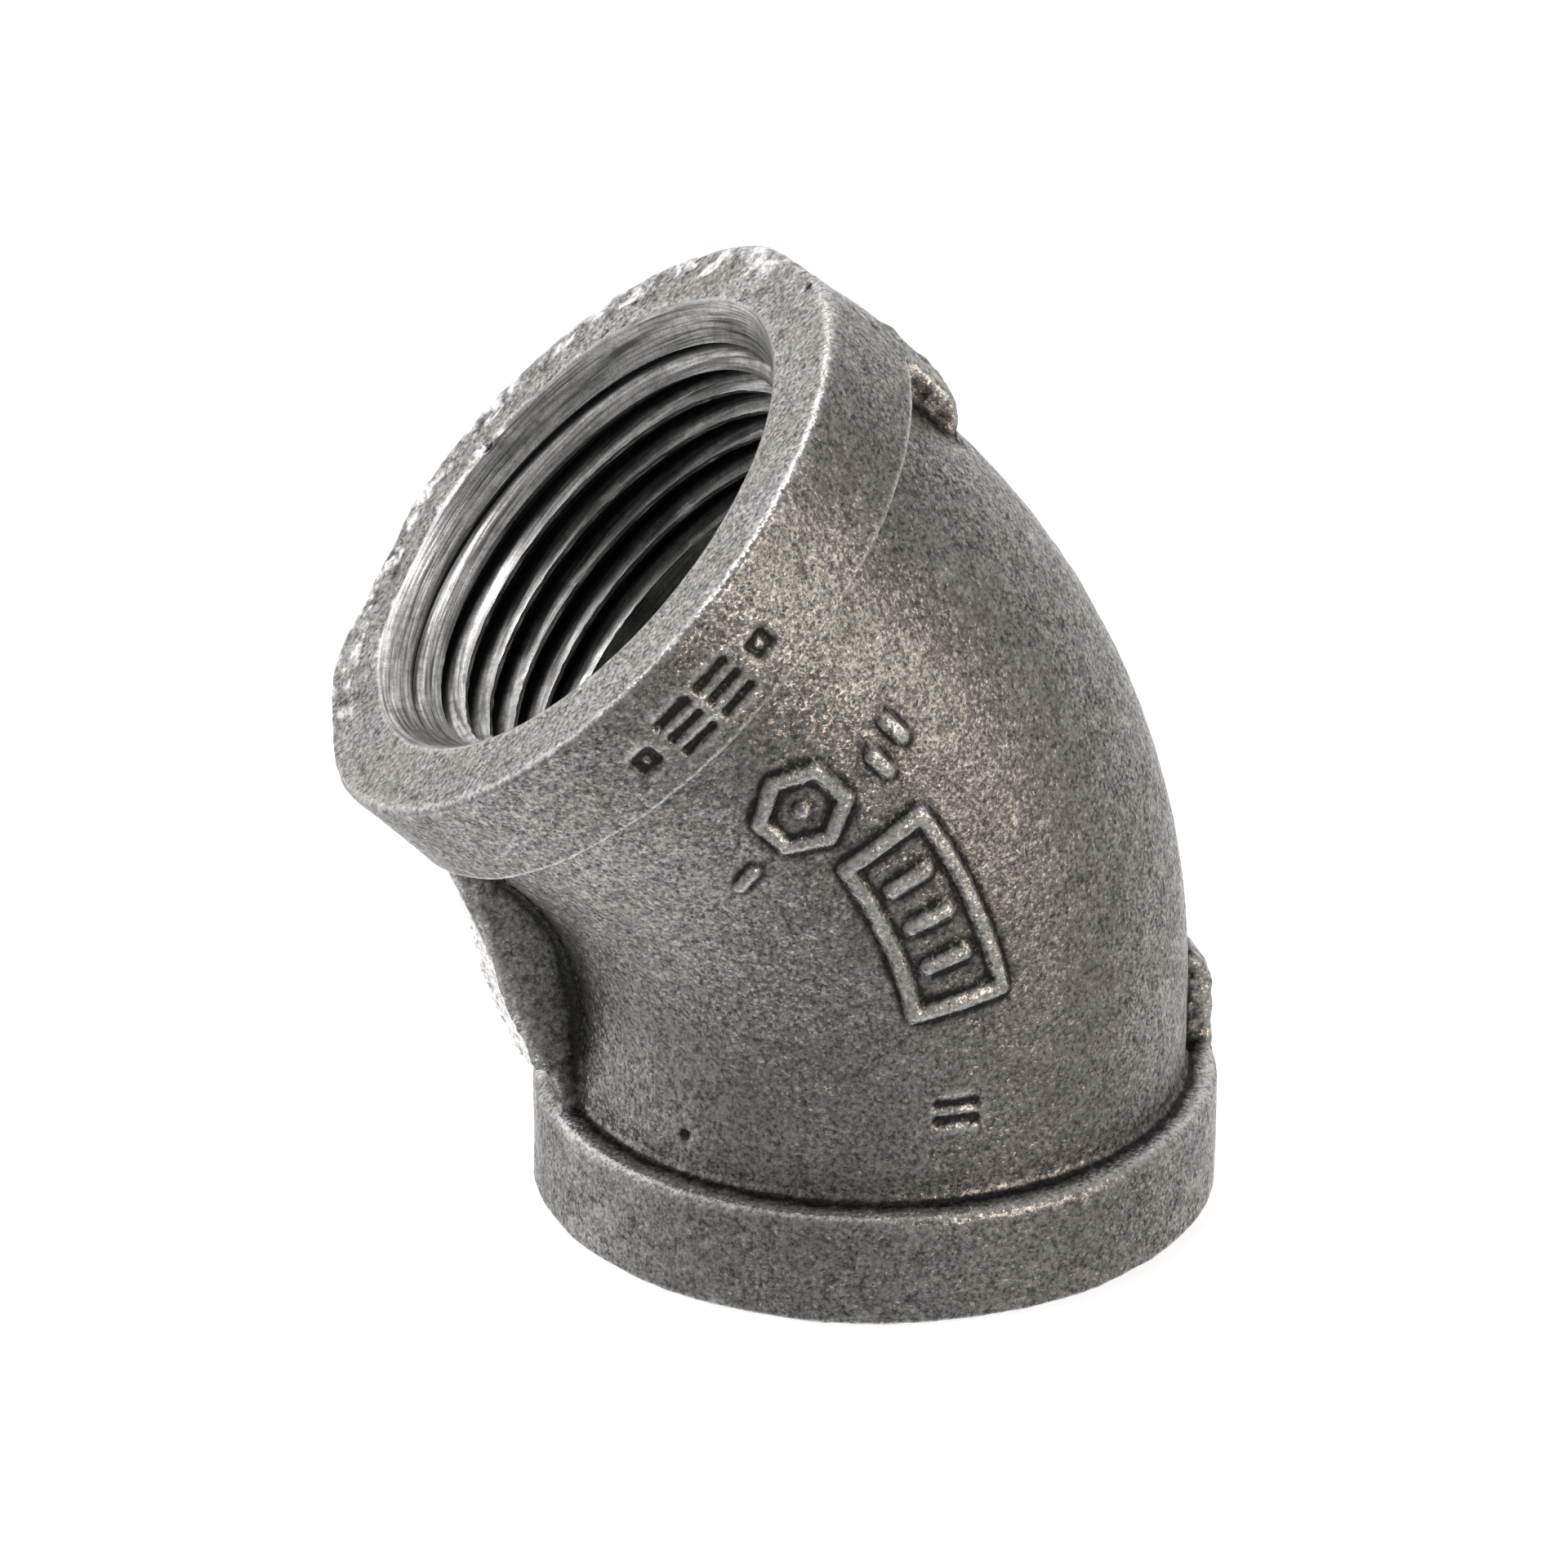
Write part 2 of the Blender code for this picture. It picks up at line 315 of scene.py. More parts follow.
# The camera: azimuth from straight in front, height and roll, then its lens, sensor and place.
CAMERA_AZIMUTH = math.radians(-13.66)
CAMERA_HEIGHT = math.radians(25.59)
CAMERA_ROLL = math.radians(0.16)
CAMERA_LENS = 250
CAMERA_SENSOR = 36
CAMERA_PLACE = Vector((AXIS_X - 158.74, -627.27, 337.99)) * MM


def edge_roughness(points, layers):
    """Ragged heights for edges and seams, from layers of noise."""
    return sum(height * EDGE_NOISE.at(points + shift, size) for height, size, shift in layers)


# ---------------------------------------------------------------- centre line


def line_frames(stations):
    """Centre, outward direction and forward direction of the centre line at each station."""
    stations = np.asarray(stations, float)
    turn = np.clip((stations - LEG) / BEND_RADIUS, 0, BEND)
    out = np.stack([np.cos(turn), 0 * turn, np.sin(turn)], -1)
    along = np.stack([-np.sin(turn), 0 * turn, np.cos(turn)], -1)
    bend_centre = np.array([-BEND_RADIUS, 0, LEG])
    straight = np.where(stations < LEG, stations - LEG, np.maximum(stations - LEG - ARC, 0))
    centre = bend_centre + BEND_RADIUS * out + straight[:, None] * along
    return centre, out, along


def ring_points(stations, angles, radii):
    """Points at each station and angle; radii is one row of values for each station."""
    centre, out, _ = line_frames(stations)
    spoke = (
        out[:, None, :] * np.cos(angles)[None, :, None]
        + SIDE * np.sin(angles)[None, :, None]
    )
    return centre[:, None, :] + spoke * radii[..., None]


SIDE = np.array([0.0, 1.0, 0.0])
FACE_CENTRES, FACE_OUTS, FACE_ALONGS = line_frames([0.0, LENGTH])
LEG_DIRECTIONS = (-FACE_ALONGS[0], FACE_ALONGS[1])


def leg_coordinates(points, leg):
    """Depth behind a leg's face, height towards the outside of the bend, and distance from its axis."""
    offset = points - FACE_CENTRES[leg]
    depth = -offset @ LEG_DIRECTIONS[leg]
    height = offset @ FACE_OUTS[leg]
    return depth, height, np.hypot(height, points[..., 1])


# ---------------------------------------------------------------- the outside's shape


def rounded_corner(a, b, radius):
    """Distance to the region where both a and b are negative, with its corner rounded."""
    pair = np.stack([a, b]) + radius
    inside = np.minimum(pair.max(axis=0), 0)
    return np.hypot(*np.maximum(pair, 0)) + inside - radius


def blend(a, b, fillet):
    """The nearer of two distances, with a fillet where the shapes meet."""
    close = np.maximum(fillet - np.abs(a - b), 0) / fillet
    return np.minimum(a, b) - close * close * fillet / 4


def band_distance(points, leg):
    """The collar round an end; the upper one's rim is worn rounder on its far side."""
    depth, height, radius = leg_coordinates(points, leg)
    behind = depth - BAND_WIDTH
    worn_side = points[..., 1] * math.cos(WEAR_TURN) + height * math.sin(WEAR_TURN)
    rounding = RIM_ROUND[leg] + leg * FAR_RIM_WEAR * np.maximum(worn_side / radius, 0)
    rim = rounded_corner(radius - BAND_RADIUS, -depth, rounding)
    shoulder = rounded_corner(radius - BAND_RADIUS, behind, SHOULDER_ROUND[leg])
    return np.maximum(rim, shoulder)


def web_line():
    """A point on the web's outer edge, the direction away from the web and the direction along its edge."""
    corners = []
    for leg in (0, 1):
        edge = FACE_CENTRES[leg] - LEG_DIRECTIONS[leg] * BAND_WIDTH
        corners.append(edge - FACE_OUTS[leg] * BAND_RADIUS)
    along = corners[1] - corners[0]
    along = along / np.linalg.norm(along)
    away = np.array([-along[2], 0, along[0]])
    return corners[0] - away * WEB_SETBACK, away, along


def web_distance(points):
    """The flat web that fills the inside of the bend."""
    start, away, _ = web_line()
    edge = (points - start) @ away
    side = np.abs(points[..., 1]) - WEB_THICKNESS / 2
    plate = rounded_corner(edge, side, WEB_ROUND)
    return np.maximum(plate, away_from_web(points))


def away_from_web(points):
    """Negative between the two bands on the inside of the bend, where the web is."""
    gaps = [BAND_WIDTH / 2 - leg_coordinates(points, leg)[0] for leg in (0, 1)]
    gaps.append(np.hypot(points[..., 0] + BEND_RADIUS, points[..., 2] - LEG) - BEND_RADIUS)
    return np.max(gaps, axis=0)


def fin_distance(points):
    """The ragged wedge of metal that the mould's parting line left on the web's edge."""
    start, away, along = web_line()
    offset = points - start
    run = offset @ along
    place = np.stack([run, 0 * run, 0 * run], -1)
    ragged = edge_roughness(place, FIN_LAYERS)
    height = FIN_HEIGHT - FIN_FADE * np.maximum(run - FIN_FULL, 0) + ragged
    height = np.where(run < FIN_START + 0.4 * points[..., 1], BROKEN_OFF, height)
    wander = 0.3 + 1.5 * ragged
    top = offset @ away - height + FIN_SLOPE * np.abs(points[..., 1] - wander)
    aside = np.abs(points[..., 1]) - WEB_THICKNESS / 2
    return np.max([top / math.hypot(1, FIN_SLOPE), aside, away_from_web(points)], axis=0)


def lug_distance(points, leg):
    """The lug behind a band, level with the band at its back edge and sinking into it from there."""
    depth, height, _ = leg_coordinates(points, leg)
    top = height - BAND_RADIUS + np.maximum(BAND_WIDTH - depth, 0) / 2
    outline = rounded_corner(top, depth - LUG_END, LUG_CORNER)
    side = np.abs(points[..., 1]) - WEB_THICKNESS / 2
    lug = rounded_corner(outline, side, WEB_ROUND)
    return np.maximum(lug, np.maximum(BODY_RADIUS / 2 - height, BAND_WIDTH / 2 - depth))


def outside_distance(points, radii):
    """Distance to the casting's outside; radii is how far the points are from the centre line."""
    shape = radii - BODY_RADIUS
    for leg in (0, 1):
        shape = blend(shape, band_distance(points, leg), BODY_FILLET)
    shape = blend(shape, web_distance(points), WEB_FILLET)
    for leg in (0, 1):
        shape = blend(shape, lug_distance(points, leg), WEB_FILLET)
    return blend(shape, fin_distance(points), FIN_FILLET)


def outside_radii(stations, angles):
    """Walks in along each ray until it meets the casting."""
    shape = (len(stations), len(angles))
    middle = ring_points(stations, angles, np.zeros(shape)).reshape(-1, 3)
    spoke = ring_points(stations, angles, np.ones(shape)).reshape(-1, 3) - middle
    radii = np.full(len(middle), FAR)
    moving = np.arange(len(middle))
    for _ in range(WALK_STEPS):
        reach = radii[moving]
        gap = outside_distance(middle[moving] + spoke[moving] * reach[:, None], reach)
        radii[moving] = np.maximum(reach - np.maximum(gap, 0) * WALK_SHARE, BODY_RADIUS * 0.9)
        moving = moving[gap > WALK_END]
    return radii.reshape(shape)


# ---------------------------------------------------------------- rings


def spaced(*stretches):
    """Places along a line, from (end, step) stretches that follow on from each other."""
    places = [0.0]
    for end, step in stretches:
        count = max(1, round((end - places[-1]) / step))
        places.extend(np.linspace(places[-1], end, count + 1)[1:])
    return np.array(places)


def outside_stations():
    """Stations from face to face, close together where the skin turns sharply."""
    halves = []
    for band, rounding in zip(BAND_STRETCHES, RIM_ROUND):
        rim = rounding * (1 - np.cos(np.linspace(0, math.pi / 2, RIM_ROWS)))
        half = spaced(band, *SHOULDER_STRETCHES, (LENGTH / 2, BODY_STEP))
        halves.append(np.concatenate([rim, half[half > rounding * 1.2]]))
    return np.concatenate([halves[0], (LENGTH - halves[1])[::-1][1:]])


def outside_angles(count):
    """Angles round the line, closer together on the web, on the lugs and on the marked side."""
    fine = np.linspace(0, 2 * math.pi, 7201)
    degrees = np.degrees(fine)
    inner = np.abs(degrees - 180)
    outer = np.minimum(degrees, 360 - degrees)
    web = 2.2 * swell(inner, 0, 10) + 3 * swell(inner, 5.4, 1.1)
    lugs = 1.6 * swell(outer, 0, 9) + 5 * swell(outer, 5.9, 0.5)
    marked = 0.9 * swell(degrees, math.degrees(MARK_SIDE), 34, 6)
    density = 1 + web + lugs + marked
    total = np.cumsum(density) - density[0]
    return np.interp(np.arange(count) / count * total[-1], total, fine)


# ---------------------------------------------------------------- the bores


def thread_section():
    """Across one thread, from crest middle to crest middle: (share of the pitch, groove depth)."""
    crest = CREST_FLAT / 2 / PITCH
    root = ROOT_FLAT / 2 / PITCH
    down = [
        (crest + (0.5 - root - crest) * share, THREAD_DEPTH * share)
        for share in (0, 0.35, 0.7, 1)
    ]
    up = [(1 - share, deep) for share, deep in reversed(down)]
    return np.array([(0.0, 0.0), *down, *up])


def bore_radius(depth, groove):
    """Radius at a depth, where groove is how deep the thread is cut there."""
    fade = np.clip((FULL_THREAD + RUN_OUT - depth) / RUN_OUT, 0, 1)
    thread = CREST_RADIUS - depth * TAPER + groove * fade
    return np.maximum(thread, MOUTH_RADIUS - COUNTERSINK_SLOPE * depth)


class Net:
    """Collects the points and faces of the casting's surface."""

    def __init__(self):
        self.points = []
        self.faces = []
        self.cut = []
        self.depth = []
        self.size = 0

    def add(self, points, cut, depth=0.0):
        """Adds points and returns their numbers; cut is 1 on machined metal and 0 on the cast skin."""
        shape = points.shape[:-1]
        numbers = np.arange(self.size, self.size + int(np.prod(shape))).reshape(shape)
        self.points.append(points.reshape(-1, 3))
        self.cut.append(np.broadcast_to(float(cut), shape).ravel())
        self.depth.append(np.broadcast_to(depth, shape).ravel())
        self.size += numbers.size
        return numbers

    def join(self, one, two):
        """Joins two rings that have the same number of points."""
        quads = np.stack([one, np.roll(one, -1), np.roll(two, -1), two], -1)
        self.faces.extend(quads.tolist())

    def join_rows(self, rows):
        for one, two in zip(rows[:-1], rows[1:]):
            self.join(one, two)

    def join_half(self, fine, coarse):
        """Joins a ring to one with half as many points."""
        after = np.roll(coarse, -1)
        start, middle, end = fine[::2], fine[1::2], np.roll(fine[::2], -1)
        for corners in ((start, middle, coarse), (middle, after, coarse), (middle, end, after)):
            self.faces.extend(np.stack(corners, -1).tolist())


def leg_points(leg, angles, radii, depth):
    """Points in a leg's own straight frame; radii and depth may vary from point to point."""
    spoke = (
        FACE_OUTS[leg] * np.cos(angles)[..., None] + SIDE * np.sin(angles)[..., None]
    )
    depth = np.broadcast_to(depth, np.shape(radii))
    inward = -LEG_DIRECTIONS[leg]
    return FACE_CENTRES[leg] + spoke * radii[..., None] + inward * depth[..., None]


def add_mouth(net, leg, angles, rim, rim_radii):
    """The flat end face and the rounded lip of the countersink; returns a ring of half the points."""
    rows = [rim]
    lip = MOUTH_RADIUS + LIP
    for share in np.linspace(0, 1, FACE_ROWS)[1:]:
        radii = rim_radii + (lip - rim_radii) * share
        rows.append(net.add(leg_points(leg, angles, radii, 0.0), 0))
    for turn in np.linspace(0, 1, LIP_ROWS)[1:]:
        radius = lip - LIP * LIP_REACH * turn
        depth = LIP * LIP_DROP * turn**2
        ring = leg_points(leg, angles, np.full(angles.shape, radius), depth)
        rows.append(net.add(ring, turn, depth))
    net.join_rows(rows)
    half = angles[::2]
    depth = LIP * LIP_DROP + LIP_GAP
    radii = bore_radius(np.full(half.shape, depth), 0)
    ring = net.add(leg_points(leg, half, radii, depth), 1, depth)
    net.join_half(rows[-1], ring)
    return ring


def add_thread(net, leg, half, mouth):
    """The tapped thread as one strip that winds down the bore; returns the ring where it has run out."""
    sign = (1, -1)[leg]
    turned = (sign * (half - THREAD_PHASE[leg])) % (2 * math.pi)
    order = np.argsort(turned)
    angles, shares = half[order], turned[order] / (2 * math.pi)
    count = len(half)
    section = thread_section()

    def row(turn, section_part):
        share, groove = section_part
        crest_depth = THREAD_START + PITCH * (turn + shares)
        depth = crest_depth + PITCH * share
        place = np.stack([angles * CREST_RADIUS, depth * 3, 0 * angles], -1)
        ragged = RAGGED[leg].at(place, WEAR_SIZE)
        worn = CREST_WEAR * ragged * (1 - groove / THREAD_DEPTH)
        radii = bore_radius(depth, groove + worn)
        return net.add(leg_points(leg, angles, radii, depth), 1, depth)

    strips = [[row(turn, part) for part in section] for turn in range(THREAD_TURNS)]
    crests = [strip[0] for strip in strips]
    last = row(THREAD_TURNS, section[0])
    crests.append(last)
    # The strip's crest line, one point a column, from the first turn to the last.
    crest = np.concatenate(crests)
    steps = len(section)
    # Column k of the strip runs from crest point k to crest point k + count.
    columns = np.stack(
        [np.concatenate([strip[i] for strip in strips]) for i in range(steps)], 1
    )
    end_part = []
    for share, groove in section[1:]:
        depth = THREAD_START + PITCH * (THREAD_TURNS + shares[:1] + share)
        point = leg_points(leg, angles[:1], bore_radius(depth, groove), depth)
        end_part.append(net.add(point, 1, depth)[0])
    columns = np.vstack([columns, [crest[THREAD_TURNS * count], *end_part]])
    depth = THREAD_START + PITCH * (THREAD_TURNS + 1 + shares[:1])
    final = net.add(leg_points(leg, angles[:1], bore_radius(depth, 0), depth), 1)[0]
    crest = np.append(crest, final)
    below = crest[count:]
    full = np.column_stack([columns, below[: len(columns)]])
    quads = np.stack([full[:-1, :-1], full[1:, :-1], full[1:, 1:], full[:-1, 1:]], -1)
    net.faces.extend(quads.reshape(-1, 4).tolist())

    top = mouth[order]
    quads = np.stack([top[:-1], top[1:], crest[1:count], crest[: count - 1]], -1)
    net.faces.extend(quads.tolist())
    net.faces.append([top[-1], top[0], *columns[0], crest[count], crest[count - 1]])

    depth = THREAD_START + PITCH * (THREAD_TURNS + 1) + THREAD_END
    bottom = leg_points(leg, angles, bore_radius(np.full(count, depth), 0), depth)
    bottom = net.add(bottom, 1, depth)
    edge = crest[THREAD_TURNS * count :]
    after = np.roll(bottom, -1)
    quads = np.stack([edge[1:-1], edge[2:], after[1:], bottom[1:]], -1)
    net.faces.extend(quads.tolist())
    net.faces.append([edge[1], bottom[1], bottom[0], edge[-1], *columns[-1][:0:-1], edge[0]])
    back = np.argsort(order)
    return bottom[back]


def add_chamber(net, half, ends):
    """The cored passage inside the bend, opened out behind the threads."""
    start = LEG + BEND_RADIUS * CHAMBER_TURN
    stations = np.linspace(start, LENGTH - start, CHAMBER_ROWS)
    radii = np.full((len(stations), len(half)), CHAMBER_RADIUS)
    passage = ring_points(stations, half, radii)
    rows = [net.add(ring, 0) for ring in passage]
    for leg, target in ((0, passage[0]), (1, passage[-1])):
        radii = bore_radius(np.full(half.shape, CHAMBER_DEPTH), 0)
        lip = leg_points(leg, half, radii, CHAMBER_DEPTH)
        flare = [
            net.add(lip + (target - lip) * share, cut)
            for share, cut in ((0, 1), (0.25, 0.3), (0.5, 0), (0.75, 0))
        ]
        chain = [ends[leg], *flare]
        rows = rows + chain[::-1] if leg else chain + rows
    net.join_rows(rows)


# ---------------------------------------------------------------- raised and sunk marks


def segment_distance(across, up, start, end):
    """Distance in the plane from each point to a line segment."""
    start, end = np.array(start, float), np.array(end, float)
    line = end - start
    length = max(line @ line, 1e-9)
    along = ((across - start[0]) * line[0] + (up - start[1]) * line[1]) / length
    along = np.clip(along, 0, 1)
    return np.hypot(across - start[0] - along * line[0], up - start[1] - along * line[1])


def loop(corners):
    """The sides of a closed figure, as pairs of end points."""
    return list(zip(corners, corners[1:] + corners[:1]))


def frame_mark(across, up, width, height):
    """An upright frame with three short bars in it, as pairs of end points."""
    half_bar = width / 2 / 2.4
    bars = [((across - half_bar, up + k), (across + half_bar, up + k)) for k in (-height / 4, 0, height / 4)]
    return loop(box_corners(across, up, width, height)) + bars


def hexagon_mark(across, up, radius):
    """A six-sided ring with a dot in the middle."""
    corners = [
        (across + radius * math.sin(k * math.pi / 3), up + radius * math.cos(k * math.pi / 3))
        for k in range(6)
    ]
    return loop(corners) + [((across, up), (across, up))]


def bars_mark(across, up, width):
    """Three short bars, one above the other."""
    w = width / 2
    return [((across - w, up + k), (across + w, up + k)) for k in (-BAR_GAP, 0, BAR_GAP)]


def box_corners(across, up, width, height):
    """The corners of an upright box round a middle."""
    w, h = width / 2, height / 2
    return [(across - w, up - h), (across + w, up - h), (across + w, up + h), (across - w, up + h)]


def square_mark(across, up, size):
    return loop(box_corners(across, up, size, size))


def mark_heights(stations, angles):
    """How far the generic casting marks stand out of the skin, or are sunk into it."""
    across = (angles[None, :] - MARK_SIDE) * BODY_RADIUS + 0 * stations[:, None]
    up = stations[:, None] + 0 * across
    near = np.abs(across) < MARK_REACH
    raised = frame_mark(*RAISED_FRAME) + hexagon_mark(*RAISED_HEXAGON) + list(RAISED_DASHES)
    sunk = list(SUNK_DASHES)
    for place, width in SUNK_BARS:
        sunk += bars_mark(place, SUNK_UP, width)
    for place, size in SUNK_SQUARES:
        sunk += square_mark(place, SUNK_UP, size)
    heights = np.zeros(across.shape)
    for strokes, (width, height) in ((raised, RAISED_STROKE), (sunk, SUNK_STROKE)):
        gap = np.full(near.sum(), FAR)
        for start, end in strokes:
            gap = np.minimum(gap, segment_distance(across[near], up[near], start, end))
        rise = np.clip((width + STROKE_EASE - gap) / STROKE_SLOPE, 0, 1)
        heights[near] += height * rise * rise * (3 - 2 * rise)
    return heights


# ---------------------------------------------------------------- the casting


def dent(points, centre, radius, depth):
    """How far a flaw sinks each point; a negative depth raises a lump."""
    gap = np.linalg.norm(points - centre, axis=-1) / radius
    return depth * np.exp(-(gap**3))


def skin_relief(points, cut):
    """Height of the sand-cast skin above its smooth shape; machined metal has almost none."""
    relief = sum(height * noise.at(points, size) for noise, size, height in GRAINS)
    outer = np.hypot(points[:, 0] + BEND_RADIUS, points[:, 2] - LEG)
    # The mould's parting line leaves a rough strip on the web, the lugs and the bands.
    near = swell(points[:, 1], 0, np.where(outer > BEND_RADIUS, SEAM_WIDTHS[1], SEAM_WIDTHS[0]))
    far_out = np.abs(outer - BEND_RADIUS) > BODY_RADIUS + 0.5
    depth, _, radius = leg_coordinates(points, 1)
    near = near * np.clip(depth / SEAM_FULL, 0.2, 1)
    relief = relief + np.where(far_out, near * edge_roughness(points, SEAM_LAYERS), 0)
    # The upper rim is chipped and worn on its far side.
    far_side = np.clip(points[:, 1] / WORN_ASIDE, 0, 1)
    worn = far_side * np.clip(WORN_DEPTH - depth, 0, 1) * np.clip(radius - WORN_INSIDE, 0, 1)
    chips = edge_roughness(points, CHIP_LAYERS)
    lip = far_side * swell(radius, MOUTH_RADIUS + LIP_CHIPS, LIP_CHIPS * 2, 2) * (np.abs(depth) < 0.5)
    relief = relief + worn * (chips - WORN_DOWN) + lip * chips
    return relief * (1 - cut) + TURNED_RELIEF * GRAINS[1][0].at(points, 0.5) * cut


def ground_share(points):
    """1 where the casting was ground or chipped bright: the web's outer edge, and flakes of the far rim."""
    start, away, along = web_line()
    depth, _, radius = leg_coordinates(points, 1)
    beyond = (points - start) @ away + GROUND_UNDER
    web = np.clip(beyond / GROUND_EASE, 0, 1) * (away_from_web(points) < 0)
    web = web * (np.abs(points[:, 1]) < GROUND_ASIDE)
    # Only the stretch with the fin was ground, up to the upper band.
    web = web * np.clip((points - start) @ along - FIN_START + 1, 0, 1)
    web = web * np.clip(depth - BAND_WIDTH + 1, 0, 1)
    far_side = np.clip(points[:, 1] / FLAKE_ASIDE, 0, 1) * (depth < FLAKE_DEPTH)
    flakes = np.clip(2.5 * edge_roughness(points, FLAKE_LAYERS) - 0.5, 0, FLAKE_MOST)
    return np.maximum(web, far_side * (radius > FLAKE_INSIDE) * flakes)


def make_surface():
    """All points and faces of the elbow, in millimetres about its own axes."""
    stations = outside_stations()
    angles = outside_angles(COLUMNS)
    radii = outside_radii(stations, angles) + mark_heights(stations, angles)
    net = Net()
    outside = net.add(ring_points(stations, angles, radii), 0)
    net.join_rows(outside)
    ends = []
    for leg, end in ((0, 0), (1, -1)):
        mouth = add_mouth(net, leg, angles, outside[end], radii[end])
        ends.append(add_thread(net, leg, angles[::2], mouth))
    add_chamber(net, angles[::2], ends)
    return net


def edge_pairs(mesh):
    pairs = np.empty(len(mesh.edges) * 2, np.int32)
    mesh.edges.foreach_get("vertices", pairs)
    return pairs.reshape(-1, 2)


def hollow_share(points, normals, pairs, rounds):
    """How far each point lies below the average of the skin round it, in millimetres."""
    count = len(points)
    ways = np.bincount(pairs.ravel(), minlength=count)[:, None]
    even = points
    for _ in range(rounds):
        total = np.stack(
            [
                np.bincount(pairs[:, 0], even[pairs[:, 1], k], count)
                + np.bincount(pairs[:, 1], even[pairs[:, 0], k], count)
                for k in range(3)
            ],
            -1,
        )
        even = (even + total / ways) / 2
    return np.einsum("ij,ij->i", even - points, normals)


def set_points(mesh, points):
    mesh.vertices.foreach_set("co", points.astype(np.float32).ravel())
    mesh.update()


def normals_of(mesh):
    normals = np.empty(len(mesh.vertices) * 3, np.float32)
    mesh.vertex_normals.foreach_get("vector", normals)
    return normals.reshape(-1, 3).astype(float)


def add_values(mesh, name, values):
    layer = mesh.attributes.new(name, "FLOAT", "POINT")
    layer.data.foreach_set("value", values.astype(np.float32))


def make_elbow(material):
    net = make_surface()
    points = np.concatenate(net.points)
    cut = np.concatenate(net.cut)
    depth = np.concatenate(net.depth)
    mesh = bpy.data.meshes.new("cast_elbow")
    mesh.from_pydata(points.tolist(), [], net.faces)
    work = bmesh.new()
    work.from_mesh(mesh)
    bmesh.ops.recalc_face_normals(work, faces=work.faces)
    work.to_mesh(mesh)
    work.free()
    normals = normals_of(mesh)
    relief = skin_relief(points, cut)
    for station, angle, radius, size, deep in DENTS:
        centre = ring_points([station], np.array([angle]), np.array([[radius]]))[0, 0]
        relief = relief - dent(points, centre, size, deep)
    points = points + normals * relief[:, None]
    # Nothing stands proud of the face that the elbow rests on.
    points[:, 2] = np.maximum(points[:, 2], 0)
    set_points(mesh, points)
    normals = normals_of(mesh)
    hollow = hollow_share(points, normals, edge_pairs(mesh), HOLLOW_ROUNDS)
    add_values(mesh, "cut", cut)
    add_values(mesh, "cut_depth", depth)
    add_values(mesh, "hollow", np.clip(hollow * HOLLOW_SCALE, -1, 1))
    add_values(mesh, "ground", ground_share(points) * (1 - cut))
    set_points(mesh, (points + np.array([AXIS_X, 0, 0])) * MM)
    mesh.shade_smooth()
    mesh.set_sharp_from_angle(angle=SHARP_ANGLE)
    mesh.materials.append(material)
    elbow = bpy.data.objects.new("cast_elbow", mesh)
    bpy.context.scene.collection.objects.link(elbow)
    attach(elbow, "root")
    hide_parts(NODE)
    return elbow


# ---------------------------------------------------------------- materials


class Nodes:
    """A short way to write a material's nodes."""

    def __init__(self, name):
        self.material = bpy.data.materials.new(name)
        self.material.use_nodes = True
        self.tree = self.material.node_tree
        self.tree.nodes.clear()

    def add(self, kind, inputs=None, **settings):
        node = self.tree.nodes.new(kind)
        for key, value in settings.items():
            setattr(node, key, value)
        for key, value in (inputs or {}).items():
            self.put(node.inputs[key], value)
        return node

    def put(self, socket, value):
        if isinstance(value, bpy.types.NodeSocket):
            self.tree.links.new(value, socket)
        else:
            socket.default_value = value

    def math(self, operation, *values):
        node = self.add("ShaderNodeMath", operation=operation)
        for socket, value in zip(node.inputs, values):
            self.put(socket, value)
        return node.outputs[0]

    def noise(self, where, size, detail=2.0, rough=0.5):
        """Noise whose features are about size millimetres across."""
        inputs = {"Vector": where, "Scale": 1 / (size * MM), "Detail": detail, "Roughness": rough}
        return self.add("ShaderNodeTexNoise", inputs).outputs["Fac"]

    def spread(self, value, low, high, to_low=0.0, to_high=1.0):
        node = self.add("ShaderNodeMapRange", {0: value, 1: low, 2: high, 3: to_low, 4: to_high})
        return node.outputs[0]

    def blend(self, share, one, two):
        node = self.add("ShaderNodeMix", data_type="RGBA")
        self.put(node.inputs[0], share)
        self.put(node.inputs[6], one)
        self.put(node.inputs[7], two)
        return node.outputs[2]

    def value(self, name):
        return self.add("ShaderNodeAttribute", attribute_name=name).outputs["Fac"]

    def bump(self, height, distance, strength, under=None):
        inputs = {"Height": height, "Distance": distance * MM, "Strength": strength}
        node = self.add("ShaderNodeBump", inputs)
        if under is not None:
            self.put(node.inputs["Normal"], under)
        return node.outputs[0]


